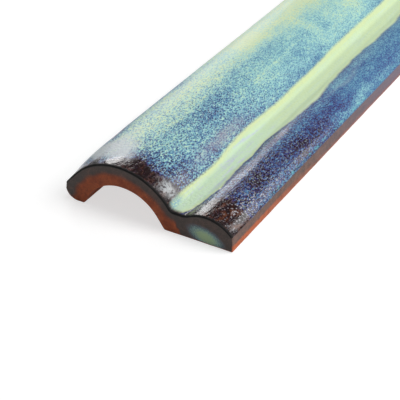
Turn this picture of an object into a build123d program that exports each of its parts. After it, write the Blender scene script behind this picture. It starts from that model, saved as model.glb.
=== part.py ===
from build123d import *
import os
from math import cos, radians, sin, sqrt, tan

# A straight length of moulded trim tile, pressed in one piece from red clay and glazed on its face.
# Its section has a tall hollow crown on the left, a level valley, and a low bead over a solid foot.
# Sizes are in millimetres and angles in degrees.
# X runs across the tile, from the toe under the crown to the straight side of the foot.
# Y runs along the tile, and Z up from the level that the toe and the foot rest on.

# The whole tile
length = 304.8
width = 76.2
height = 22.5

# The crown, a round arch whose left flank ends as a straight slope above the tile's left side
crown_radius = 27.7
crown_from_left_side = 25.9
flank_slope = 46.0

# The hollow under the crown, open along the underside, with a straight slope down to the foot
wall_at_crown = 9.4
hollow_radius = 19.05
hollow_from_left_side = 27.0
hollow_slope = 56.0

# The level valley beside the crown, and the bead, which bulges over the straight line from valley to side
valley_height = 9.7
valley_width = 6.2
bead_bulge = 4.0

# The straight side of the foot
side_height = 6.9

# Rounded corners of the section, from the left side over the face to the underside
toe_radius = 5.6
shoulder_radius = 1.6
crown_to_valley_radius = 2.4
valley_to_bead_radius = 6.0
side_arris_radius = 0.9
foot_arris_radius = 0.5
heel_radius = 1.2
tip_radius = 1.5

# The softened edge round each sawn end
end_arris_radius = 0.4

left = -width / 2
right = width / 2

# The crown's arc, from its straight flank to the valley
crown_x = left + crown_from_left_side
crown_centre_z = height - crown_radius
crown_top = (crown_x, height)
flank_top = (
    crown_x - crown_radius * sin(radians(flank_slope)),
    crown_centre_z + crown_radius * cos(radians(flank_slope)),
)
shoulder = (left, flank_top[1] - (flank_top[0] - left) * tan(radians(flank_slope)))
valley_left = (crown_x + sqrt(crown_radius**2 - (valley_height - crown_centre_z) ** 2), valley_height)

# The bead's two ends
valley_right = (valley_left[0] + valley_width, valley_height)
side_top = (right, side_height)

# The hollow's arc, from the tip of the toe to the slope that ends at the heel of the foot
hollow_x = left + hollow_from_left_side
hollow_top = (hollow_x, height - wall_at_crown)
hollow_centre_z = hollow_top[1] - hollow_radius
tip = (hollow_x - sqrt(hollow_radius**2 - hollow_centre_z**2), 0)
slope_top = (
    hollow_x + hollow_radius * sin(radians(hollow_slope)),
    hollow_centre_z + hollow_radius * cos(radians(hollow_slope)),
)
heel = (slope_top[0] + slope_top[1] / tan(radians(hollow_slope)), 0)

toe = (left, 0)
foot_corner = (right, 0)

rounded_corners = [
    (toe, toe_radius),
    (shoulder, shoulder_radius),
    (valley_left, crown_to_valley_radius),
    (valley_right, valley_to_bead_radius),
    (side_top, side_arris_radius),
    (foot_corner, foot_arris_radius),
    (heel, heel_radius),
    (tip, tip_radius),
]

with BuildPart() as trim_tile:
    with BuildSketch(Plane.XZ) as section:
        with BuildLine():
            Polyline(tip, toe, shoulder, flank_top)
            ThreePointArc(flank_top, crown_top, valley_left)
            Line(valley_left, valley_right)
            SagittaArc(valley_right, side_top, bead_bulge)
            Polyline(side_top, foot_corner, heel, slope_top)
            ThreePointArc(slope_top, hollow_top, tip)
        make_face()
        for corner, radius in rounded_corners:
            fillet(section.vertices().sort_by_distance(corner)[0], radius)
    extrude(amount=length / 2, both=True)
    fillet(trim_tile.faces().filter_by(Axis.Y).edges(), end_arris_radius)

trim_tile.part.label = "trim_tile"

os.makedirs("parts", exist_ok=True)
export_step(trim_tile.part, "parts/trim_tile.step")
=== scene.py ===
from math import cos, pi, radians, sin

import bpy
import numpy as np
from bpy.props import FloatProperty, FloatVectorProperty, IntProperty, PointerProperty
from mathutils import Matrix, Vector


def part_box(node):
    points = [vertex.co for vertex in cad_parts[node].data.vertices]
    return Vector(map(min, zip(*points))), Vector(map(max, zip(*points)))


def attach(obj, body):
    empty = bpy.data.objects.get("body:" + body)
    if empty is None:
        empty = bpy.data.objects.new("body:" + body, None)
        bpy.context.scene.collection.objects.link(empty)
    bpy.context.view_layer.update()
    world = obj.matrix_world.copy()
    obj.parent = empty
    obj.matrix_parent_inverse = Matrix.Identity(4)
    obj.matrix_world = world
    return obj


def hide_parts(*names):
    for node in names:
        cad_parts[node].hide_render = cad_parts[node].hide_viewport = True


# A straight length of moulded trim tile in red clay, with a reactive glaze on its face.
# Places on the glazed face are given as on the tile laid out flat: across, from the foot of the left
# side over the crown, the valley and the bead to the right side, and along, from the front end.

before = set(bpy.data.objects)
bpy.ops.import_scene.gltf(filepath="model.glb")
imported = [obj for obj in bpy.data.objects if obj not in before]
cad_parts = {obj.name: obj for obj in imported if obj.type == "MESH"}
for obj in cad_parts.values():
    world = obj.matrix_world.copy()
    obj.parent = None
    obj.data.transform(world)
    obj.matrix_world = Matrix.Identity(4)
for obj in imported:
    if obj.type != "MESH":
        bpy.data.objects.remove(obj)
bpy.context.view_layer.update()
tile_low, tile_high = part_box("trim_tile")
tile_size = tile_high - tile_low

bl_info = {
    "name": "Glazed trim tile",
    "version": (1, 0, 0),
    "blender": (4, 5, 0),
    "location": "3D View > Sidebar > Trim tile",
    "description": "Makes a moulded clay trim tile with a reactive glaze, and a plain studio for it",
    "category": "Add Mesh",
}

MM = 0.001


def linear(red, green, blue):
    """A colour given in bytes, as the shader wants it."""
    shares = [byte / 255 for byte in (red, green, blue)]
    return tuple(s / 12.92 if s <= 0.04045 else ((s + 0.055) / 1.055) ** 2.4 for s in shares)


def size(default, name, description):
    return FloatProperty(name=name, description=description, default=default, min=0.0,
                         unit="LENGTH", precision=5)


def number(default, least, name, description):
    return IntProperty(name=name, description=description, default=default, min=least)


def turn(degrees, name, description):
    return FloatProperty(name=name, description=description, default=radians(degrees), subtype="ANGLE")


def share(default, name, description):
    return FloatProperty(name=name, description=description, default=default, min=0.0, max=1.0,
                         subtype="FACTOR")


def amount(default, name, description):
    return FloatProperty(name=name, description=description, default=default, min=0.0)


def tint(red, green, blue, name, description):
    return FloatVectorProperty(name=name, description=description, default=linear(red, green, blue), size=3,
                               min=0.0, max=1.0, subtype="COLOR")


class TileSection(bpy.types.PropertyGroup):
    """The sizes of the tile's section, and its length."""

    length: size(tile_size.y, "Length", "The tile's whole length")
    width: size(tile_size.x, "Width", "From the left side to the right side")
    height: size(tile_size.z, "Height", "From the base to the top of the crown")
    crown_radius: size(27.7 * MM, "Crown radius", "The round of the crown")
    crown_from_left: size(25.9 * MM, "Crown from left", "From the left side to the middle of the crown")
    flank_slope: turn(46, "Flank slope", "The slope of the straight flank")
    wall_at_crown: size(9.4 * MM, "Wall at crown", "The clay over the hollow")
    hollow_radius: size(19.05 * MM, "Hollow radius", "The round of the hollow under the crown")
    hollow_from_left: size(27.0 * MM, "Hollow from left", "From the left side to the middle of the hollow")
    hollow_slope: turn(56, "Hollow slope", "The slope from the hollow down to the foot")
    valley_height: size(9.7 * MM, "Valley height", "The height of the level valley")
    valley_width: size(6.2 * MM, "Valley width", "The width of the level valley")
    bead_bulge: size(4.0 * MM, "Bead bulge", "How far the bead bulges")
    side_height: size(6.9 * MM, "Side height", "The height of the straight side")
    toe_radius: size(5.6 * MM, "Toe radius", "The round under the left side")
    shoulder_radius: size(1.6 * MM, "Shoulder radius", "The round between left side and flank")
    crown_to_valley: size(2.4 * MM, "Crown to valley", "The round between crown and valley")
    valley_to_bead: size(6.0 * MM, "Valley to bead", "The round between valley and bead")
    side_arris: size(0.9 * MM, "Side arris", "The softened edge between bead and side")
    foot_arris: size(0.5 * MM, "Foot arris", "The softened edge between side and base")
    heel_radius: size(1.2 * MM, "Heel radius", "The round between base and hollow")
    tip_radius: size(1.5 * MM, "Tip radius", "The round between hollow and toe")
    end_arris: size(0.4 * MM, "End arris", "The softened edge round each end")


class TileMesh(bpy.types.PropertyGroup):
    """How finely the tile is meshed."""

    cells_across: number(112, 20, "Cells across", "Cells over the glazed face")
    cells_through: number(10, 4, "Cells through", "Cells from face to base")
    cells_along: number(350, 20, "Cells along", "Cells from end to end")
    arris_cells: number(4, 2, "Arris cells", "Cells round each end's softened edge")


class TileRelief(bpy.types.PropertyGroup):
    """The fuller flank, which swells out of the plain shape, and the unevenness, which sinks into it."""

    flank_fullness: size(2.0 * MM, "Flank fullness", "How far the crown's flank swells")
    wave: size(0.16 * MM, "Wave", "The slow waviness of the pressed face")
    melt: size(0.07 * MM, "Melt", "The unevenness of the melted glaze")
    stripe_height: size(0.12 * MM, "Stripe height", "How high the poured stripe stands")
    thin_at_arris: size(0.16 * MM, "Thin at arris", "How much thinner the glaze is at the edges")
    wash_height: size(0.09 * MM, "Wash height", "How high the brushed wash stands")
    end_roughness: size(0.12 * MM, "End roughness", "The unevenness of the cut ends")
    base_roughness: size(0.12 * MM, "Base roughness", "The unevenness of the underside")
    drag: size(0.08 * MM, "Drag marks", "The depth of the long marks on the underside")


class GlazeColours(bpy.types.PropertyGroup):
    """The reactive glaze, from where it is burnt thin to where it pools, and its stripe."""

    burnt: tint(30, 10, 13, "Burnt", "Where the glaze is burnt through")
    plum: tint(62, 46, 68, "Plum", "The rim of the burnt glaze")
    indigo: tint(64, 58, 118, "Indigo", "Thin glaze")
    blue: tint(66, 96, 152, "Blue", "Glaze below middle thickness")
    sea: tint(86, 136, 174, "Sea blue", "Glaze of middle thickness")
    teal: tint(125, 177, 194, "Teal", "Glaze above middle thickness")
    mist: tint(158, 210, 209, "Mist green", "Thick glaze")
    lime: tint(187, 223, 200, "Lime", "Pooled glaze")
    cream: tint(212, 230, 182, "Cream", "The thickest glaze")
    rust: tint(98, 50, 20, "Rust", "Iron showing through burnt glaze")
    # Mauve clouds, partly a painted sheen over the blue glaze
    mauve_and_sheen: tint(158, 146, 164, "Mauve and sheen", "The clouded patches beside the stripe")
    # Painted glints: pale specks standing in for the glaze's sparkling reflections
    painted_glints: tint(194, 192, 198, "Painted glints", "The pale specks by the edges")
    # Pale glaze with a painted highlight and sheen over it, by the front end
    pale_glaze_and_highlight: tint(206, 213, 216, "Pale glaze and highlight", "The pale sheen by the front end")
    ice: tint(200, 228, 224, "Ice", "The palest crystals in the glaze")
    pit: tint(30, 36, 84, "Pit", "The darkest flecks in the glaze")
    stripe_yellow: tint(220, 233, 177, "Stripe yellow", "The sides of the poured stripe")
    stripe_green: tint(208, 234, 203, "Stripe green", "The middle of the poured stripe")
    stripe_lilac: tint(204, 210, 230, "Stripe lilac", "The clouds in the poured stripe")
    rim: tint(40, 58, 124, "Rim", "The thin line right of the stripe")
    edge: tint(9, 6, 6, "Edge", "The dark line where the glaze ends")
    turquoise: tint(112, 194, 198, "Turquoise", "The broken line along the side arris")
    fleck_size: size(0.44 * MM, "Fleck size", "The size of the flecks in the glaze")
    fleck_strength: amount(1.6, "Fleck strength", "How far the flecks change the glaze")
    roughness: share(0.17, "Roughness", "The roughness of the thin glaze")
    satin: share(0.50, "Satin roughness", "The roughness of the thick glaze")
    gloss: share(0.5, "Gloss", "The clear gloss over the thin glaze")
    gloss_roughness: share(0.09, "Gloss roughness", "The roughness of the clear gloss")
    peel: size(0.07 * MM, "Peel", "The height of the fine unevenness")


class ClayColours(bpy.types.PropertyGroup):
    """The clay body, its brushed wash, and the glaze sprayed on the foot's ends."""

    terracotta: tint(214, 116, 75, "Terracotta", "The bare clay")
    # Dark terracotta is also used more on the underside and the cut ends, as painted shade
    terracotta_dark: tint(166, 86, 59, "Dark terracotta", "The bare clay's darker parts")
    wash: tint(134, 99, 86, "Wash", "The dark brushed wash")
    # Dark wash is also used more on the cut ends, as painted shade
    wash_dark: tint(62, 51, 46, "Dark wash", "The wash where it lies thick")
    edge: tint(12, 9, 9, "Edge", "The dark line by the glazed edge")
    dust: tint(206, 150, 120, "Dust", "Pale grains in the clay")
    haze: tint(124, 112, 130, "Haze", "The wash further back along the side")
    spray_rim: tint(56, 66, 84, "Spray rim", "The rim of the sprayed patch")
    spray: tint(142, 188, 184, "Spray", "The sprayed patch")
    spray_middle: tint(198, 232, 176, "Spray middle", "The middle of the sprayed patch")
    roughness: share(0.82, "Roughness", "The roughness of the bare clay")
    grain: size(0.06 * MM, "Grain", "The height of the clay's grain")


class Studio(bpy.types.PropertyGroup):
    """The floor, the light and the camera."""

    floor_side: size(40.0, "Floor side", "The side of the square floor")
    floor: tint(190, 190, 190, "Floor", "The floor's colour")
    floor_glow: share(0.64, "Floor glow", "How much the floor is lifted to white")
    world_strength: amount(0.13, "World strength", "The even light from all round")
    azimuth: turn(30.08, "Azimuth", "The camera's direction, round the tile")
    elevation: turn(33.60, "Elevation", "The camera's height angle")
    distance: size(488.1 * MM, "Distance", "From the camera to its aim")
    lens: FloatProperty(name="Lens", description="The focal length, in millimetres", default=109.84, min=10)
    aim: FloatVectorProperty(name="Aim", description="The point that the camera aims at", unit="LENGTH",
                             size=3, default=(9.39 * MM, -127.19 * MM, 0.0))


# The section of the tile


class Run:
    """A straight or round run of the section's outline, travelled clockwise, with the clay on its right."""

    def __init__(self, start, end, centre=None, bulges=True):
        self.start, self.end = np.array(start, float), np.array(end, float)
        self.centre = None if centre is None else np.array(centre, float)
        self.bulges = bulges

    @property
    def radius(self):
        return np.linalg.norm(self.start - self.centre)

    def inward(self, point):
        """The direction into the clay."""
        if self.centre is None:
            along = (self.end - self.start) / np.linalg.norm(self.end - self.start)
            return np.array([along[1], -along[0]])
        out = (point - self.centre) / np.linalg.norm(point - self.centre)
        return -out if self.bulges else out

    def depth(self, point):
        """How far a point lies inside the run."""
        if self.centre is None:
            return (point - self.start) @ self.inward(point)
        gap = self.radius - np.linalg.norm(point - self.centre)
        return gap if self.bulges else -gap

    @property
    def angles(self):
        first, last = (np.arctan2(*(p - self.centre)[::-1]) for p in (self.start, self.end))
        way = -1 if self.bulges else 1
        return first, way * ((way * (last - first)) % (2 * pi))

    @property
    def span(self):
        """Its length, and how far it turns."""
        if self.centre is None:
            return np.linalg.norm(self.end - self.start), 0.0
        sweep = abs(self.angles[1])
        return self.radius * sweep, sweep

    def at(self, part):
        if self.centre is None:
            return self.start + part * (self.end - self.start)
        first, sweep = self.angles
        angle = first + part * sweep
        return self.centre + self.radius * np.array([cos(angle), sin(angle)])


ROUNDING_STEPS = 30


def rounded(first, second, radius):
    """Rounds the corner between two runs, shortens them to it and returns the round."""
    corner = first.end
    a, b = first.inward(corner), second.inward(corner)
    side = 1 if a[0] * b[1] - a[1] * b[0] < 0 else -1
    # Newton's method finds the centre that lies one radius inside both runs
    centre = corner + side * radius * (a + b)
    for _ in range(ROUNDING_STEPS):
        ways = np.array([first.inward(centre), second.inward(centre)])
        gaps = side * radius - np.array([first.depth(centre), second.depth(centre)])
        centre = centre + np.linalg.solve(ways, gaps)
    start = centre - side * radius * first.inward(centre)
    end = centre - side * radius * second.inward(centre)
    first.end, second.start = start, end
    return Run(start, end, centre, side > 0)


def section_runs(s):
    """The four sides of the section, each a list of runs: face, foot's side, base and hollow, and toe."""
    left, right = -s.width / 2, s.width / 2
    crown = np.array([left + s.crown_from_left, s.height - s.crown_radius])
    flank_top = crown + s.crown_radius * np.array([-sin(s.flank_slope), cos(s.flank_slope)])
    shoulder_height = flank_top[1] - (flank_top[0] - left) * np.tan(s.flank_slope)
    reach = np.sqrt(s.crown_radius**2 - (s.valley_height - crown[1]) ** 2)
    valley_left = np.array([crown[0] + reach, s.valley_height])
    valley_right = valley_left + (s.valley_width, 0)
    side_top = np.array([right, s.side_height])

    chord = side_top - valley_right
    span = np.linalg.norm(chord)
    bead_radius = (span**2 / 4 + s.bead_bulge**2) / (2 * s.bead_bulge)
    up = np.array([-chord[1], chord[0]]) / span
    bead = (valley_right + side_top) / 2 - up * (bead_radius - s.bead_bulge)

    hollow = np.array([left + s.hollow_from_left, s.height - s.wall_at_crown - s.hollow_radius])
    tip = (hollow[0] - np.sqrt(s.hollow_radius**2 - hollow[1] ** 2), 0)
    slope_top = hollow + s.hollow_radius * np.array([sin(s.hollow_slope), cos(s.hollow_slope)])
    heel = (slope_top[0] + slope_top[1] / np.tan(s.hollow_slope), 0)

    toe_base = Run(tip, (left, 0))
    left_side = Run((left, 0), (left, shoulder_height))
    flank = Run((left, shoulder_height), flank_top)
    crown_round = Run(flank_top, valley_left, crown)
    valley = Run(valley_left, valley_right)
    bead_round = Run(valley_right, side_top, bead)
    foot_side = Run(side_top, (right, 0))
    foot_base = Run((right, 0), heel)
    slope = Run(heel, slope_top)
    hollow_round = Run(slope_top, tip, hollow, bulges=False)

    toe = rounded(toe_base, left_side, s.toe_radius)
    shoulder = rounded(left_side, flank, s.shoulder_radius)
    crown_end = rounded(crown_round, valley, s.crown_to_valley)
    valley_end = rounded(valley, bead_round, s.valley_to_bead)
    side_arris = rounded(bead_round, foot_side, s.side_arris)
    foot_arris = rounded(foot_side, foot_base, s.foot_arris)
    heel_round = rounded(foot_base, slope, s.heel_radius)
    tip_round = rounded(hollow_round, toe_base, s.tip_radius)

    face = [left_side, shoulder, flank, crown_round, crown_end, valley, valley_end, bead_round, side_arris]
    underside = [foot_arris, foot_base, heel_round, slope, hollow_round, tip_round]
    return face, [foot_side], underside, [toe_base, toe]


# How far the cells along the tile are crowded towards its ends
END_CROWDING = 0.55
# A turn of one radian gets as many cells as this length
TURN_WEIGHT = 2.6 * MM


def sampled(runs, cells):
    """Points spread over the runs, closer together where they turn, with their directions into the clay."""
    spans = [run.span for run in runs]
    ends = np.cumsum([0.0] + [length + TURN_WEIGHT * bend for length, bend in spans])
    lengths = np.cumsum([0.0] + [length for length, bend in spans])
    points, ways, places = [], [], []
    for target in np.linspace(0, ends[-1], cells + 1):
        i = min(int(np.searchsorted(ends, target, side="right")) - 1, len(runs) - 1)
        part = min((target - ends[i]) / (ends[i + 1] - ends[i]), 1.0)
        points.append(runs[i].at(part))
        ways.append(runs[i].inward(points[-1]))
        places.append(lengths[i] + part * spans[i][0])
    return np.array(points), np.array(ways), np.array(places)


def filled(top, right, base, left):
    """A grid of points inside four sides: top and base run left to right, left and right run down."""
    u = np.linspace(0, 1, len(top))[:, None, None]
    v = np.linspace(0, 1, len(left))[None, :, None]
    across = (1 - v) * top[:, None] + v * base[:, None]
    down = (1 - u) * left[None] + u * right[None]
    corners = (1 - u) * (1 - v) * top[0] + u * (1 - v) * top[-1]
    corners = corners + (1 - u) * v * base[0] + u * v * base[-1]
    return across + down - corners


# The unevenness of the surface


def uneven(a, b, cell_a, cell_b, seed):
    """Smooth noise from -1 to 1 over two coordinates, with a random height at each corner of its cells."""
    a, b = a / cell_a, b / cell_b
    i, j = np.floor(a).astype(int), np.floor(b).astype(int)
    p, q = a - i, b - j
    p, q = p**3 * (p * (6 * p - 15) + 10), q**3 * (q * (6 * q - 15) + 10)
    i, j = i - i.min(), j - j.min()
    heights = np.random.default_rng(seed).uniform(-1, 1, (i.max() + 2, j.max() + 2))
    low = heights[i, j] * (1 - p) + heights[i + 1, j] * p
    high = heights[i, j + 1] * (1 - p) + heights[i + 1, j + 1] * p
    return low * (1 - q) + high * q


def eased(value, low, high):
    """From 0 below low to 1 above high."""
    part = np.clip((value - low) / (high - low), 0, 1)
    return part * part * (3 - 2 * part)


def patches(across, along, spots):
    """Soft round patches, each with its place, half width, half length and strength."""
    total = np.zeros_like(across)
    for place, where, half_width, half_length, strength in spots:
        spread = ((across - place) / half_width) ** 2 + ((along - where) / half_length) ** 2
        total += strength * np.exp(-spread)
    return total


# Patches on the laid-out face: across, along, half width and half length in millimetres, and strength
THIN_AND_THICK = (
    (41, 57, 6.0, 10, -0.15),    # navy pools on the crown
    (46, 42, 4.0, 9, -0.08),
    (37, 68, 4.5, 6, -0.09),
    (52, 72, 4.0, 9, -0.08),
    (43, 28, 4.0, 8, 0.07),      # clearer teal in front of it
    (54.5, 41, 2.4, 0.8, -0.40),  # a small scar beside the stripe
    (34, 38, 1.3, 20, 0.22),     # a yellow run down the crown
    (22, 62, 8.0, 12, 0.12),     # a thicker patch left of it
    (11.5, 42, 3.0, 38, -0.52),  # thin glaze over the flank
    (15.5, 28, 4.0, 10, -0.42),
    (15, 71, 3.6, 8, -0.28),
    (33.5, 58, 3.5, 22, 0.14),   # a pale band along the top of the crown
    (53, 18, 5.0, 8, -0.34),     # thin glaze behind the front end, left of the stripe
    (49, 34, 3.5, 6, -0.12),
    (24, 124, 9.0, 16, 0.14),    # clouds over the crown
    (36, 151, 10.0, 4.6, 0.13),
    (28, 180, 13.0, 11, 0.10),
    (44, 112, 4.0, 5, 0.08),
    (44, 186, 9.0, 10, 0.12),
    (40, 222, 12.0, 18, -0.16),  # a deeper blue pool, and clouds behind it
    (20, 244, 9.0, 14, 0.14),
    (46, 262, 7.0, 12, 0.10),
    (79, 36, 4.0, 11, -0.20),    # burnt patches on the bead
    (83, 68, 3.6, 13, -0.22),
    (82, 102, 3.0, 12, -0.09),
    (84, 210, 4.0, 20, -0.10),
    (76, 62, 2.4, 12, 0.10),     # thicker runs on the bead
    (75, 120, 2.6, 26, 0.14),
    (87, 122, 1.6, 30, 0.16),
    (77, 246, 4.0, 20, 0.12),
)
# The pale glaze by the front end and along the flank, with a painted highlight and sheen over it, and near
# the stripe the painted highlight's creased net
PALE_GLAZE_AND_HIGHLIGHTS = (
    (18, 12, 13, 8.6, 1.1),
    (29, 11, 4, 7, 0.6),
    (25, 24, 5, 11, 0.3),
    (20, 70, 8, 30, 0.2),
    (53.5, 7.2, 5.2, 4.6, 1.1),
    (70.5, 5.5, 4.2, 4.2, 0.8),
)
# The mauve clouds beside the stripe, partly a painted sheen
CLOUDS_AND_SHEEN = (
    (53, 46, 3.0, 18, 0.85),
    (51, 58, 2.0, 9, 0.5),
    (71.3, 36, 1.6, 24, 0.6),
    (72.5, 64, 2.0, 16, 0.6),
    (74.5, 18, 2.4, 9, 0.5),
    (76, 124, 1.3, 22, 0.5),
    (70, 222, 2.2, 24, 0.6),
)
# The pale specks by the edges, which are painted glints
PAINTED_GLINT_PATCHES = (
    (86, 26, 3.6, 26, 0.8),
    (84, 15, 3.6, 10, 0.6),
    (79, 30, 5.0, 20, 0.35),
    (72, 44, 2.5, 26, 0.4),
    (53.5, 7.2, 4.8, 4.5, 0.6),
    (70, 9, 3.0, 7, 1.1),
    (26, 10, 7.0, 5, 0.5),
    (86, 282, 3.0, 18, 0.7),
)

# The poured stripe's two edges, in millimetres on the laid-out face: along, left, right
STRIPE_EDGES = (
    (0, 58.1, 63.6), (4, 58.1, 66.0), (9, 58.1, 68.3), (20, 58.2, 70.2),
    (30, 58.3, 69.9), (40, 58.1, 69.2), (50, 57.0, 68.7), (60, 56.7, 67.8),
    (70, 56.8, 68.4), (80, 57.2, 71.0), (100, 57.5, 73.0), (120, 57.6, 71.3),
    (135, 57.0, 70.5), (150, 56.3, 69.2), (165, 56.4, 70.8), (190, 56.3, 71.6),
    (215, 56.4, 70.5), (240, 57.0, 68.5), (265, 56.6, 69.8), (290, 57.2, 68.8),
    (305, 57.6, 67.0),
)

# How thick the glaze lies on the crown and on the bead, from front to back: along, thickness
CROWN_GLAZE = (
    (0, 0.50), (40, 0.50), (75, 0.54), (120, 0.60), (165, 0.67), (215, 0.69), (250, 0.64), (305, 0.56),
)
BEAD_GLAZE = (
    (0, 0.16), (30, 0.18), (70, 0.22), (110, 0.34), (165, 0.43), (230, 0.48), (305, 0.32),
)

# How far the glaze is burnt back from each end, in millimetres
BURNT_BACK = 9.2
BURNT_FURTHER_ON_BEAD = 4.8
BURNT_LESS_ON_FLANK = 5.5

# The least that any surface sinks, in millimetres
LEAST_SINK = 0.02


def between_rows(value, rows):
    """Reads a table whose rows are a place and what is there."""
    places, amounts = zip(*rows)
    return np.interp(value, places, amounts)


def glaze_maps(across, along, length):
    """How the glaze lies, in numbers over the laid-out face, where lengths are in millimetres."""
    from_end = np.minimum(along, length - along)
    sway = 2.4 * uneven(across, along, 7, 13, 11) + 1.0 * uneven(across, along, 2.6, 5, 12)
    drift = 1.5 * uneven(across, along, 6, 16, 13) + 0.6 * uneven(across, along, 2.2, 4.5, 14)
    a, b = across + drift, along + 1.4 * sway

    # The crown's glaze is thicker and paler on the flank, partly a painted sheen, and thinner at its foot,
    # and a streak runs down it
    crown = between_rows(b, CROWN_GLAZE) + 0.23 * (1 - eased(a, 26, 36)) - 0.07 * eased(a, 51, 56)
    lie = crown + (between_rows(b, BEAD_GLAZE) - crown) * eased(a, 65, 70)
    lie = lie + patches(a, b, THIN_AND_THICK)
    lie = lie + 0.05 * uneven(across, along, 9, 17, 17) + 0.05 * uneven(across, along, 3.5, 8, 18)
    streak = np.exp(-((across + 0.035 * (along - 110) - 43.8) / 0.8) ** 2)
    lie = lie + 0.13 * streak * eased(along, 80, 92) * (1 - eased(along, 132, 146))

    # Fingers of burnt glaze reach back from the ends, with a plum rim behind them
    fingers = 2.2 * uneven(across, along, 3.4, 60, 15) + 1.2 * uneven(across, along, 1.5, 9, 16)
    reach = from_end + fingers
    burnt_to = BURNT_BACK + BURNT_FURTHER_ON_BEAD * eased(across, 69, 73)
    burnt_to = burnt_to - BURNT_LESS_ON_FLANK * (1 - eased(across, 24, 36))
    burnt = 1 - eased(reach, burnt_to - 1.5, burnt_to + 2.0)
    plum = 1 - eased(reach, burnt_to + 1, burnt_to + 13)
    lie = lie * (1 - 0.7 * plum) * (1 - burnt) - 0.02 * burnt

    bends, lefts, rights = zip(*STRIPE_EDGES)
    left = across - np.interp(along, bends, lefts) + 0.35 * uneven(across * 0, along, 5, 12, 19)
    right = np.interp(along, bends, rights) - across
    right = right + 0.6 * uneven(across * 0, along, 5, 7, 20) + 0.35 * uneven(across * 0, along, 5, 2.8, 21)
    return {
        "lie": lie,
        # Where the mauve clouds lie, partly a painted sheen
        "clouded": np.clip(patches(a, b, CLOUDS_AND_SHEEN), 0, 1),
        # Pale glaze with a painted highlight and sheen over it
        "pearly": np.clip(patches(a, b, PALE_GLAZE_AND_HIGHLIGHTS), 0, 1),
        # Where the painted glints lie
        "ashen": np.clip(patches(a, b, PAINTED_GLINT_PATCHES), 0, 1),
        "burnt": burnt,
        "from_end": from_end,
        "stripe_left": left,
        "stripe_right": right,
    }


def stripe_cover(maps):
    """Where the poured stripe lies, from 0 to 1."""
    sides = eased(maps["stripe_left"], -0.6, 0.8) * eased(maps["stripe_right"], -0.4, 0.8)
    return sides * eased(maps["from_end"], 0.5, 3.0)


def flank_fullness(across, from_end, r):
    """How far the flank left of the crown swells behind the ends, in millimetres."""
    swell = eased(across, 2.0, 8.5) * (1 - eased(across, 12.0, 33.0))
    return r.flank_fullness / MM * swell * (1 - np.exp(-from_end / 9.0))


def face_sink(across, along, maps, r):
    """How far the face sinks below its plain shape, in millimetres. Below 0 it swells out of it."""
    wave, melt = r.wave / MM, r.melt / MM
    sink = LEAST_SINK + wave * (0.5 + 0.5 * uneven(across, along, 21, 46, 31))
    blisters = 0.35 * uneven(across, along, 5.5, 9, 32) + 0.15 * uneven(across, along, 2.4, 3.6, 33)
    sink += melt * (0.5 + blisters)
    sink += 0.6 * melt * (0.5 + 0.5 * uneven(across, along, 2.6, 34, 34))
    sink += r.stripe_height / MM * (1 - stripe_cover(maps))
    end_edge = np.clip(1 - maps["from_end"] / 4.0, 0, 1) ** 2
    side_edge = 0.4 * np.exp(-np.abs(across - 90) / 1.1)
    sink += r.thin_at_arris / MM * np.clip(end_edge + side_edge, 0, 1)
    return sink - flank_fullness(across, maps["from_end"], r)


def underside_sink(across, along, r):
    """How far the bare underside sinks below its plain shape, in millimetres."""
    rough = 0.5 + 0.3 * uneven(across, along, 4, 6, 41) + 0.2 * uneven(across, along, 1.8, 2.2, 42)
    drag = 0.5 + 0.5 * uneven(across, along, 1.6, 90, 43)
    return LEAST_SINK + r.base_roughness / MM * rough + r.drag / MM * drag


# The tile


# How far the brushed wash reaches down from the face on an end, in millimetres: across, depth
WASH_DEPTH = (
    (0, 6.0), (8, 5.2), (20, 5.0), (50, 5.1), (60, 4.2), (62.5, 4.6), (65.5, 12), (100, 14),
)

# The width that the underside takes up on the laid-out face
UNDERSIDE_LAY = 30 * MM

# The tile's materials, in the order of its slots
GLAZE, SIDE, BARE, END = range(4)


def rows_along(length, arris, cells, arris_cells):
    """Places along the tile, and how far out of each end's softened edge they are, from 0 to 1."""
    bends = np.linspace(0, pi / 2, arris_cells + 1)
    first = [(arris * (1 - cos(bend)), sin(bend)) for bend in bends]
    steps = np.linspace(0, 1, cells + 1)[1:-1]
    steps = steps - END_CROWDING * np.sin(2 * pi * steps) / (2 * pi)
    middle = [(y, 1.0) for y in arris + (length - 2 * arris) * steps]
    last = [(length - y, part) for y, part in reversed(first)]
    return np.array(first + middle + last).T


def four_sides(loop, nx, nz):
    """A loop's top and base, which run left to right, and its right and left, which run down."""
    base = loop[nx + nz:2 * nx + nz + 1][::-1]
    left = np.concatenate([loop[2 * nx + nz:], loop[:1]])[::-1]
    return loop[:nx + 1], loop[nx:nx + nz + 1], base, left


def round_edge(values):
    """The values of an end's grid round its edge, in the order of the loop."""
    return np.concatenate([values[:, 0], values[-1, 1:], values[-2::-1, -1], values[0, -2:0:-1]])


def end_sink(x, z, washed, seed, r):
    """How far a cut end sinks below its plain shape, in millimetres."""
    rough = 0.5 + 0.3 * uneven(x, z, 4, 3, seed) + 0.2 * uneven(x, z, 1.5, 1.5, seed + 1)
    return LEAST_SINK + r.end_roughness / MM * rough + r.wash_height / MM * (1 - washed)


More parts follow.
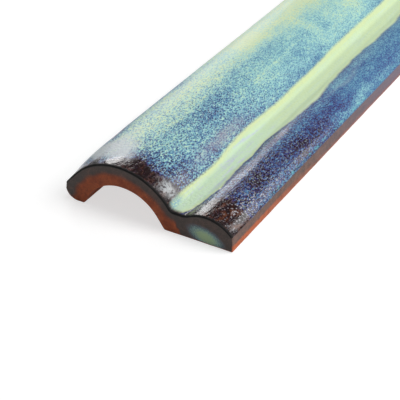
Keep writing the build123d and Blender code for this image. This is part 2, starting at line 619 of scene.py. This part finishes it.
def tile_mesh(s, m, r):
    """The tile's vertices, faces and material slots, and the numbers that its materials read."""
    face, side, underside, toe = section_runs(s)
    top, top_in, top_place = sampled(face, m.cells_across)
    right, right_in, right_place = sampled(side, m.cells_through)
    base, base_in, _ = sampled(underside, m.cells_across)
    left, left_in, left_place = sampled(toe, m.cells_through)
    nx, nz = m.cells_across, m.cells_through

    # One loop round the section: over the face, down the side, back along the base and up the toe.
    # The toe's lowest point shares the next one's place, so that no glaze shows at the seam.
    ring = np.vstack([top, right[1:], base[1:], left[1:-1]])
    ring_in = np.vstack([top_in, right_in[1:], base_in[1:], left_in[1:-1]])
    count = len(ring)
    toe_place = left_place[1:-1] - left_place[-1]
    ring_across = np.concatenate([
        top_place,
        top_place[-1] + right_place[1:],
        top_place[-1] + right_place[-1] + np.linspace(0, 1, nx + 1)[1:-1] * UNDERSIDE_LAY,
        toe_place[:1],
        toe_place,
    ])

    # The loop repeats along the tile, drawn in round the softened edge of each end
    length = s.length
    along, part = rows_along(length, s.end_arris, m.cells_along, m.arris_cells)
    inset = (s.end_arris * (1 - part))[:, None]
    points = np.zeros((len(along), count, 3))
    points[..., 0] = ring[:, 0] + inset * ring_in[:, 0]
    points[..., 2] = ring[:, 1] + inset * ring_in[:, 1]
    points[..., 1] = along[:, None] - length / 2

    across_mm = np.broadcast_to(ring_across / MM, (len(along), count))
    along_mm = np.broadcast_to(along[:, None] / MM, (len(along), count))
    maps = glaze_maps(across_mm, along_mm, length / MM)

    # Each end is a grid inside the loop
    grid = filled(*four_sides(points[0][:, (0, 2)], nx, nz))
    gap = np.linalg.norm(grid[:, :, None] - top[None, None], axis=-1)
    depth = gap.min(-1) / MM
    end_across = top_place[gap.argmin(-1)] / MM
    x, z = grid[..., 0] / MM, grid[..., 1] / MM
    wash_to = between_rows(end_across, WASH_DEPTH)
    washed = 1 - eased(depth + 0.25 * uneven(x, z, 3, 3, 51), wash_to - 2.6, wash_to + 1.6)
    end_sinks = [end_sink(x, z, washed, seed, r) for seed in (61, 71)]

    # The loop sinks square to the section, and at its ends along the tile as well
    is_face = np.zeros(count)
    is_face[:nx + 1] = 1
    is_face[nx + 1:nx + nz] = np.linspace(1, 0, nz + 1)[1:-1] * 0.5
    sink = is_face * face_sink(across_mm, along_mm, maps, r)
    sink = (sink + (1 - is_face) * underside_sink(across_mm, along_mm, r)) * MM
    points[..., 0] += ring_in[:, 0] * sink
    points[..., 2] += ring_in[:, 1] * sink
    front, back = (round_edge(values) * MM for values in end_sinks)
    points[..., 1] += (1 - part**2)[:, None] * np.where(along[:, None] < length / 2, front, -back)

    vertices = [points.reshape(-1, 3)]
    lays = [np.stack([across_mm, along_mm, np.zeros_like(across_mm)], -1).reshape(-1, 3)]
    fields = {name: [values.ravel()] for name, values in maps.items()}
    fields["washed"] = [np.broadcast_to(round_edge(washed), (len(along), count)).ravel()]

    ids = np.arange(len(along) * count).reshape(len(along), count)
    a, b = ids[:-1], ids[1:]
    faces = [np.stack([a, np.roll(a, -1, 1), np.roll(b, -1, 1), b], -1).reshape(-1, 4)]
    ring_slots = [GLAZE] * nx + [SIDE] * nz + [BARE] * nx + [GLAZE] * nz
    slots = [np.tile(ring_slots, len(along) - 1)]

    shape = (nx - 1, nz - 1)
    inside = slice(1, -1), slice(1, -1)
    for end, y, way, loop in ((0, 0.0, 1, ids[0]), (1, length, -1, ids[-1])):
        net = np.zeros((nx + 1, nz + 1), int)
        net[inside] = sum(map(len, vertices)) + np.arange(shape[0] * shape[1]).reshape(shape)
        net[:, 0], net[-1, :], net[:, -1], net[0, :] = four_sides(loop, nx, nz)
        cells = np.stack([net[:-1, :-1], net[:-1, 1:], net[1:, 1:], net[1:, :-1]], -1).reshape(-1, 4)
        faces.append(cells if end == 0 else cells[:, ::-1])
        slots.append(np.full(len(cells), END))

        level = y - length / 2 + way * end_sinks[end][inside] * MM
        vertices.append(np.stack([grid[inside][..., 0], level, grid[inside][..., 1]], -1).reshape(-1, 3))
        lay = [end_across[inside], np.full(shape, y / MM), depth[inside]]
        lays.append(np.stack(lay, -1).reshape(-1, 3))
        for name in maps:
            fields[name].append(np.zeros(shape[0] * shape[1]))
        fields["washed"].append(washed[inside].ravel())
    fields = {name: np.concatenate(values) for name, values in fields.items()}
    return np.vstack(vertices), np.vstack(faces), np.concatenate(slots), np.vstack(lays), fields


# Shader maths


class Value:
    """A socket of a shader tree. An expression on values adds its Math nodes."""

    def __init__(self, tree, socket=None):
        self.tree, self.socket = tree, socket

    def node(self, kind, settings, inputs, output=0):
        """Adds any node: its settings first, then the values or links of its sockets."""
        made = self.tree.nodes.new(kind)
        for name, value in settings.items():
            if name == "stops":
                ramp = made.color_ramp
                while len(ramp.elements) < len(value):
                    ramp.elements.new(0.5)
                for element, (place, colour) in zip(ramp.elements, value):
                    element.position = place
                    element.color = (*colour, 1)
            else:
                setattr(made, name, value)
        for name, value in inputs.items():
            if isinstance(value, Value):
                self.tree.links.new(value.socket, made.inputs[name])
            elif made.inputs[name].type == "RGBA":
                made.inputs[name].default_value = (*value, 1)
            else:
                made.inputs[name].default_value = value
        return Value(self.tree, made.outputs[output] if made.outputs else None)

    def math(self, operation, *values):
        return self.node("ShaderNodeMath", {"operation": operation}, dict(enumerate(values)))

    def __add__(self, other):
        return self.math("ADD", self, other)

    def __sub__(self, other):
        return self.math("SUBTRACT", self, other)

    def __rsub__(self, other):
        return self.math("SUBTRACT", other, self)

    def __mul__(self, other):
        return self.math("MULTIPLY", self, other)

    __radd__ = __add__
    __rmul__ = __mul__

    def at_least(self, other):
        return self.math("MAXIMUM", self, other)

    def eased(self, low, high):
        """From 0 below low to 1 above high, and back where low is the larger."""
        if low > high:
            return 1 - self.eased(high, low)
        return self.node("ShaderNodeMapRange", {"interpolation_type": "SMOOTHSTEP"},
                         {"Value": self, "From Min": low, "From Max": high})

    def attribute(self, name, output="Fac"):
        return self.node("ShaderNodeAttribute", {"attribute_name": name}, {}, output)

    def axes(self):
        """The three numbers of a vector."""
        return (self.node("ShaderNodeSeparateXYZ", {}, {0: self}, i) for i in range(3))

    def stretched(self, scale):
        """A vector, scaled on each axis."""
        return self.node("ShaderNodeVectorMath", {"operation": "MULTIPLY"}, {0: self, 1: scale})

    def noise(self, scale, detail=2.0, roughness=0.5, distortion=0.0):
        """Noise over a vector, spread to about -1 to 1."""
        raw = self.node("ShaderNodeTexNoise", {}, {"Vector": self, "Scale": scale, "Detail": detail,
                                                   "Roughness": roughness, "Distortion": distortion})
        return (raw - 0.5) * 3.2

    def specks(self, scale):
        """The distance to the nearest of many scattered points."""
        return self.node("ShaderNodeTexVoronoi", {}, {"Vector": self, "Scale": scale}, "Distance")

    def ramp(self, stops):
        return self.node("ShaderNodeValToRGB", {"stops": stops}, {"Fac": self})

    def mixed(self, first, second):
        """A colour between two, by this value."""
        return self.node("ShaderNodeMix", {"data_type": "RGBA"}, {0: self, 6: first, 7: second}, 2)

    def bumped(self, distance):
        return self.node("ShaderNodeBump", {}, {"Height": self, "Distance": distance, "Strength": 1.0})


def new_material(name):
    material = bpy.data.materials.new(name)
    material.use_nodes = True
    material.node_tree.nodes.clear()
    return material, Value(material.node_tree)


def surface(start, inputs):
    shader = start.node("ShaderNodeBsdfPrincipled", {}, inputs)
    start.node("ShaderNodeOutputMaterial", {}, {"Surface": shader})


# How much the glaze mirrors when seen straight on, and the least roughness that its noise leaves
GLAZE_SPECULAR = 0.22
LEAST_ROUGHNESS = 0.08


def glaze_material(g, c):
    """The reactive glaze: its thickness picks the colour, and flecks, clouds that are partly a painted
    sheen, a painted highlight, painted glints and the stripe go over it.
    """
    material, start = new_material("reactive_glaze")
    lay = start.attribute("lay", "Vector")
    across, along, _ = lay.axes()
    lie, burnt, clouded, from_end = map(start.attribute, ("lie", "burnt", "clouded", "from_end"))
    on_bead = across.eased(70.0, 76.0)

    def drawn(share):
        """The laid-out face, drawn out along the tile."""
        return lay.stretched((1.0, share, 1.0))

    # Noise from fine to broad, and scattered points, in millimetres of the laid-out face
    fleck = 1 / (g.fleck_size / MM)
    fine = drawn(0.5).noise(fleck, 3.0, 0.62)
    soft = drawn(0.45).noise(fleck * 0.22, 3.0, 0.55, 0.6)
    broad = drawn(0.6).noise(0.09, 2.0, 0.5)
    drift = drawn(0.13).noise(0.36, 2.0, 0.5)
    streaks = drawn(0.07).noise(0.8, 2.0, 0.5)
    crystals = drawn(0.5).specks(fleck * 0.75)
    pale = drawn(0.7).specks(fleck * 0.52)
    dark = lay.stretched((1.1, 0.6, 1.0)).specks(fleck * 0.5)

    # Flecks thin and thicken the glaze, most of all by the front end and behind its burnt rim
    speck = (0.28 * fine + 0.56 * (crystals - 0.42)) * (1.25 - 0.7 * along.eased(40.0, 130.0))
    speck = speck - 0.4 * speck.at_least(0.0)
    by_end = from_end.eased(28.0, 16.0) * (1 - burnt) * across.eased(74.0, 68.0)
    speck = speck * (1 + 0.4 * by_end) * (1 - 0.78 * burnt)
    thickness = lie + 0.05 * soft + 0.03 * broad + 0.05 * drift + g.fleck_strength * speck
    colour = thickness.ramp((
        (0.00, g.burnt), (0.11, g.plum), (0.21, g.indigo), (0.33, g.blue), (0.46, g.sea),
        (0.59, g.teal), (0.71, g.mist), (0.85, g.lime), (1.00, g.cream),
    ))
    fleckiness = 0.7 * (1 - 0.65 * along.eased(50.0, 130.0)) * (1 - burnt) * (0.75 + 0.6 * soft)
    fleckiness = fleckiness * (0.35 + 0.65 * across.eased(18.0, 34.0)) * (1 - 0.45 * on_bead)
    for points, spot in ((dark, g.pit), (pale, g.ice)):
        colour = (fleckiness * (points + 0.10 * fine).eased(0.40, 0.20)).mixed(colour, spot)

    # Rust shows where the glaze is burnt, and mauve clouds, partly a painted sheen, lie over it
    rust = burnt * (soft + 0.35 * fine).eased(-0.2, 0.7) * (0.5 + 0.5 * on_bead)
    colour = rust.mixed(colour, g.rust)
    clouds = clouded * (0.62 + 0.5 * fine + 0.25 * soft).eased(0.1, 0.9)
    colour = (0.76 * clouds * lie.eased(0.0, 0.2)).mixed(colour, g.mauve_and_sheen)

    # A painted highlight and sheen lie over pale glaze, creased like a net near the stripe, and painted
    # glints speck the edges
    sheen = (1.2 * start.attribute("pearly") + 0.35 * fine + 0.35 * soft).eased(0.1, 1.35)
    folds = start.math("ABSOLUTE", drawn(0.8).noise(0.62, 1.0, 0.5))
    creases = 0.2 + 0.8 * folds.eased(0.15, 0.55)
    colour = (0.92 * sheen * (1 - creases * across.eased(42.0, 48.0))).mixed(colour, g.pale_glaze_and_highlight)
    # Painted glints speck the edges and the highlight zones
    painted_glints = start.attribute("ashen") * (lay.specks(0.95) + 0.10 * fine).eased(0.42, 0.22)
    colour = (0.85 * painted_glints).mixed(colour, g.painted_glints)

    # The stripe has yellow sides, lilac clouds, teal grains and a teal tail at the front end
    left = start.attribute("stripe_left") + 0.30 * fine + 0.25 * soft
    right = start.attribute("stripe_right") + 0.25 * fine + 0.25 * soft
    front = along.eased(95.0, 55.0)
    middle = (left + 0.7 * streaks).eased(0.5, 3.2) * (right + 0.7 * streaks).eased(-0.6, 2.6)
    middle = middle * (0.55 + 0.45 * front + 0.3 * streaks)
    stripe = middle.mixed(g.stripe_yellow, g.stripe_green)
    lilac = (0.8 * streaks + 0.5 * soft + 0.3 * fine).eased(-0.1, 0.9)
    stripe = (lilac * middle * (0.25 + 0.6 * front)).mixed(stripe, g.stripe_lilac)
    grains = (0.4 * fine + 0.9 * (crystals - 0.4) + 0.3 * soft).eased(0.0, -0.9)
    stripe = (0.34 * grains).mixed(stripe, g.teal)
    tail = (along + 0.8 * fine).eased(12.0, 6.0) * (left + 0.5 * soft).eased(4.2, 1.8)
    stripe = (0.85 * tail * (0.6 + 0.9 * fine).eased(0.1, 0.8)).mixed(stripe, g.teal)

    # A dark line runs along its right edge, which is softer towards the back
    line = right.eased(-1.5, -0.6) * right.eased(0.9, -0.3) * (0.8 + 0.3 * soft) * left.eased(0.0, 2.0)
    colour = (line * (0.3 + 0.65 * front)).mixed(colour, g.rim)
    inside = left.eased(-0.9, 0.9) * (right * (0.5 + 0.5 * front)).eased(-0.4, 0.7)
    inside = inside * (from_end + 0.4 * fine).eased(1.0, 3.2)
    colour = inside.mixed(colour, stripe)

    # A broken turquoise line beside the side arris, a dark rim at the ends, and bare clay on the toe
    beside = across + 0.25 * soft
    arris = beside.eased(87.9, 88.5) * beside.eased(89.6, 89.1)
    arris = arris * (0.2 + 0.8 * soft + 0.5 * fine).eased(0.1, 0.9) * along.eased(24.0, 38.0)
    colour = (0.85 * arris).mixed(colour, g.turquoise)
    rim = (from_end + 0.2 * fine + 0.25 * soft).eased(1.45, 0.8)
    colour = rim.mixed(colour, g.edge)
    bare = (across + 0.4 * soft + 0.2 * fine).eased(-1.5, -3.2)
    clay = (0.5 + 0.5 * fine).eased(0.0, 1.0).mixed(c.terracotta, c.terracotta_dark)
    colour = bare.mixed(colour, clay)

    # Thin glaze is glossy and crinkled, and thick glaze is satin
    thin = lie.eased(0.38, 0.12) * across.eased(28.0, 42.0)
    crinkles = drawn(0.8).noise(0.8, 2.0, 0.6)
    peel = crinkles * (0.35 + 1.25 * thin) + 1.2 * lay.specks(0.85) + 0.06 * fine
    thick = lie.eased(0.03, 0.30).at_least(inside.at_least(clouded.eased(0.2, 0.7)))
    roughness = g.roughness + (g.satin - g.roughness) * thick + 0.04 * soft + 0.04 * fine
    surface(start, {
        "Base Color": colour,
        "Roughness": (roughness + 0.4 * bare + 0.45 * rim).at_least(LEAST_ROUGHNESS),
        "Coat Weight": g.gloss * (1 - 0.93 * thick) * (1 - bare) * (1 - rim),
        "Coat Roughness": g.gloss_roughness,
        "Specular IOR Level": GLAZE_SPECULAR,
        "Normal": peel.bumped(g.peel),
    })
    return material


def clay_material(name, c, painted_shade, wash, over=None):
    """Bare clay, darkened by its given amount of painted shade. wash returns where its wash lies and where
    that is hazy, and over adds what tops it.
    """
    material, start = new_material(name)
    place = start.node("ShaderNodeTexCoord", {}, {}, "Object").stretched((1 / MM,) * 3)
    grain = place.noise(2.2, 3.0, 0.65)
    mottle = place.noise(0.35, 2.0, 0.55, 0.4)
    grit = place.specks(1.5)
    # More painted shade picks more of the darker clay and the darker wash
    colour = (painted_shade + 0.5 * mottle + 0.35 * grain).eased(0.0, 1.0).mixed(c.terracotta, c.terracotta_dark)
    colour = (0.5 * grit.eased(0.16, 0.06)).mixed(colour, c.dust)
    cover, haze = wash(start, place, grain, mottle)
    coat = (0.3 + painted_shade + 0.3 * mottle + 0.4 * grain).eased(0.0, 1.1).mixed(c.wash, c.wash_dark)
    if haze:
        coat = haze.mixed(coat, c.haze)
    colour = cover.mixed(colour, coat)
    roughness = c.roughness - 0.22 * cover
    if over:
        colour, shine = over(start, place, grain, mottle, colour)
        roughness = roughness - shine
    height = 0.6 * grain + 0.35 * mottle - 0.8 * grit.eased(0.22, 0.05)
    surface(start, {"Base Color": colour, "Roughness": roughness, "Normal": height.bumped(c.grain)})
    return material


# The sprayed patch on the foot's ends, in millimetres: its middle, its half width and half height,
# and how far it drops for each millimetre to the right
SPRAY_MIDDLE = (26.4, 3.0)
SPRAY_HALF = (9.3, 4.9)
SPRAY_DROP = 0.22


def clay_materials(c):
    """The foot's side, the bare clay and the cut ends, with more painted shade on the bare clay and the
    most on the cut ends.
    """

    def side_wash(start, place, grain, mottle):
        """A brushed edge in front, which turns to a haze over the whole side further back."""
        _, along, z = place.axes()
        back = along.eased(-150.0, -70.0)
        streak = place.stretched((1.0, 0.06, 1.0)).noise(0.5, 2.0, 0.5)
        brushed = (z + 0.5 * streak + 0.3 * mottle + 0.2 * grain).eased(2.3, 3.8)
        hazy = 0.7 + 0.3 * (z + 0.4 * mottle).eased(0.6, 2.4)
        return brushed * (1 - back) + back * hazy, 0.8 * along.eased(-100.0, 20.0)

    def base_wash(start, place, grain, mottle):
        return (0.3 * mottle + 0.3 * grain).eased(0.35, 0.9) * 0.35, None

    def end_wash(start, place, grain, mottle):
        return (start.attribute("washed") + 0.05 * grain + 0.05 * mottle).eased(0.05, 0.95), None

    def spray_and_line(start, place, grain, mottle, colour):
        """The sprayed patch, and the dark line below the glazed edge. Returns the patch's shine too."""
        x, _, z = place.axes()
        x = x - SPRAY_MIDDLE[0]
        u = x * (1 / SPRAY_HALF[0])
        w = (z - SPRAY_MIDDLE[1] + SPRAY_DROP * x) * (1 / SPRAY_HALF[1])
        away = u * u + w * w
        edge, middle = 1 - away, 1 - away * 2.4
        patch = (middle + 0.55 * grain).eased(0.1, 0.9).mixed(c.spray, c.spray_middle)
        patch = (edge + 0.3 * grain).eased(0.25, 0.8).mixed(c.spray_rim, patch)
        shown = (edge + 0.22 * grain + 0.12 * mottle).eased(0.02, 0.4)
        colour = (0.92 * shown).mixed(colour, patch)
        _, _, depth = start.attribute("lay", "Vector").axes()
        line = (depth + 0.08 * grain).eased(0.8, 0.25) * start.attribute("washed").eased(0.4, 0.8)
        return (0.9 * line).mixed(colour, c.edge), 0.35 * shown

    return (
        # The underside and the cut ends get more painted shade than the lit side
        clay_material("foot_side", c, 0.2, side_wash),
        clay_material("bare_clay", c, 0.4, base_wash),
        clay_material("cut_end", c, 0.6, end_wash, spray_and_line),
    )


class TRIMTILE_OT_tile(bpy.types.Operator):
    """Make the glazed tile in place of the plain one"""

    bl_idname = "trimtile.tile"
    bl_label = "Glazed tile"

    def execute(self, context):
        scene = context.scene
        section, clay = scene.tile_section, scene.tile_clay
        vertices, faces, slots, lays, fields = tile_mesh(section, scene.tile_mesh, scene.tile_relief)
        mesh = bpy.data.meshes.new("glazed_tile")
        mesh.from_pydata(vertices.tolist(), [], faces.tolist())
        mesh.attributes.new("lay", "FLOAT_VECTOR", "POINT").data.foreach_set("vector", lays.ravel())
        for name, values in fields.items():
            mesh.attributes.new(name, "FLOAT", "POINT").data.foreach_set("value", values)
        for material in (glaze_material(scene.tile_glaze, clay), *clay_materials(clay)):
            mesh.materials.append(material)
        mesh.polygons.foreach_set("material_index", slots)
        mesh.polygons.foreach_set("use_smooth", np.ones(len(faces), bool))
        if mesh.validate():
            raise RuntimeError("the tile's mesh has faults")
        tile = bpy.data.objects.new("glazed_tile", mesh)
        scene.collection.objects.link(tile)
        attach(tile, "root")
        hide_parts("trim_tile")
        return {"FINISHED"}


# Lamps: name, azimuth from the far end towards the right and elevation in degrees, distance, width
# and height in metres, and power in watts
LAMPS = (
    ("right_panel", 74, 42, 1.4, 0.9, 0.9, 13.0),
    ("back_right_box", 36, 27, 1.0, 0.26, 0.26, 1.0),
    ("back_left_box", -41, 16, 1.0, 0.34, 0.52, 3.1),
    ("top_panel", 40, 76, 1.5, 0.7, 0.7, 5.4),
)
LAMP_AIM = Vector((0.0, -0.09, 0.01))

# The camera's sensor, in millimetres, and what it sees, in metres
SENSOR_WIDTH = 36
NEAREST = 0.01
FARTHEST = 50


class TRIMTILE_OT_studio(bpy.types.Operator):
    """Make the floor, the lamps, the world and the camera"""

    bl_idname = "trimtile.studio"
    bl_label = "Studio"

    def execute(self, context):
        scene, studio = context.scene, context.scene.tile_studio
        self.make_floor(scene, studio)
        for lamp in LAMPS:
            self.make_lamp(scene, *lamp)
        world = bpy.data.worlds.new("studio")
        world.use_nodes = True
        background = world.node_tree.nodes["Background"]
        background.inputs["Color"].default_value = (1, 1, 1, 1)
        background.inputs["Strength"].default_value = studio.world_strength
        scene.world = world
        self.make_camera(scene, studio)
        scene.view_settings.view_transform = "Standard"
        return {"FINISHED"}

    def make_floor(self, scene, studio):
        half = studio.floor_side / 2
        mesh = bpy.data.meshes.new("floor")
        mesh.from_pydata([(-half, -half, 0), (half, -half, 0), (half, half, 0), (-half, half, 0)], [],
                         [(0, 1, 2, 3)])
        material, start = new_material("floor")
        camera, glossy, clear = (start.node("ShaderNodeLightPath", {}, {}, f"Is {kind} Ray")
                                 for kind in ("Camera", "Glossy", "Transmission"))
        seen = camera.at_least(glossy).at_least(clear)
        paint = start.node("ShaderNodeBsdfDiffuse", {}, {"Color": studio.floor})
        glow = start.node("ShaderNodeEmission", {}, {"Strength": studio.floor_glow})
        lifted = start.node("ShaderNodeAddShader", {}, {0: paint, 1: glow})
        shown = start.node("ShaderNodeMixShader", {}, {0: seen, 1: paint, 2: lifted})
        start.node("ShaderNodeOutputMaterial", {}, {"Surface": shown})
        mesh.materials.append(material)
        floor = bpy.data.objects.new("floor", mesh)
        scene.collection.objects.link(floor)

    def make_lamp(self, scene, name, azimuth, elevation, distance, width, height, power):
        lamp = bpy.data.lights.new(name, "AREA")
        lamp.shape = "RECTANGLE"
        lamp.size, lamp.size_y = width, height
        lamp.energy = power
        a, e = radians(azimuth), radians(elevation)
        way = Vector((sin(a) * cos(e), cos(a) * cos(e), sin(e)))
        self.aimed(scene, lamp, LAMP_AIM, way, distance).visible_camera = False

    def make_camera(self, scene, studio):
        camera = bpy.data.cameras.new("camera")
        camera.sensor_width = SENSOR_WIDTH
        camera.lens = studio.lens
        camera.clip_start, camera.clip_end = NEAREST, FARTHEST
        a, e = studio.azimuth, studio.elevation
        way = Vector((sin(a) * cos(e), -cos(a) * cos(e), sin(e)))
        scene.camera = self.aimed(scene, camera, Vector(studio.aim), way, studio.distance)

    def aimed(self, scene, data, aim, way, distance):
        """Puts a lamp or the camera at a distance from its aim."""
        thing = bpy.data.objects.new(data.name, data)
        thing.location = aim + distance * way
        thing.rotation_euler = way.to_track_quat("Z", "Y").to_euler()
        scene.collection.objects.link(thing)
        return thing


class TRIMTILE_PT_panel(bpy.types.Panel):
    bl_label = "Trim tile"
    bl_idname = "TRIMTILE_PT_panel"
    bl_space_type = "VIEW_3D"
    bl_region_type = "UI"
    bl_category = "Trim tile"

    def draw(self, context):
        for operator in (TRIMTILE_OT_tile, TRIMTILE_OT_studio):
            self.layout.operator(operator.bl_idname)
        for name in SETTINGS:
            box = self.layout.box()
            box.label(text=name.replace("_", " ").capitalize())
            group = getattr(context.scene, name)
            for prop in group.__annotations__:
                box.prop(group, prop)


SETTINGS = {
    "tile_section": TileSection,
    "tile_mesh": TileMesh,
    "tile_relief": TileRelief,
    "tile_glaze": GlazeColours,
    "tile_clay": ClayColours,
    "tile_studio": Studio,
}
CLASSES = (*SETTINGS.values(), TRIMTILE_OT_tile, TRIMTILE_OT_studio, TRIMTILE_PT_panel)


def register():
    for cls in CLASSES:
        bpy.utils.register_class(cls)
    for name, group in SETTINGS.items():
        setattr(bpy.types.Scene, name, PointerProperty(type=group))


def unregister():
    for name in SETTINGS:
        delattr(bpy.types.Scene, name)
    for cls in reversed(CLASSES):
        bpy.utils.unregister_class(cls)


def main():
    register()
    bpy.ops.trimtile.tile()
    bpy.ops.trimtile.studio()


if __name__ == "__main__":
    main()
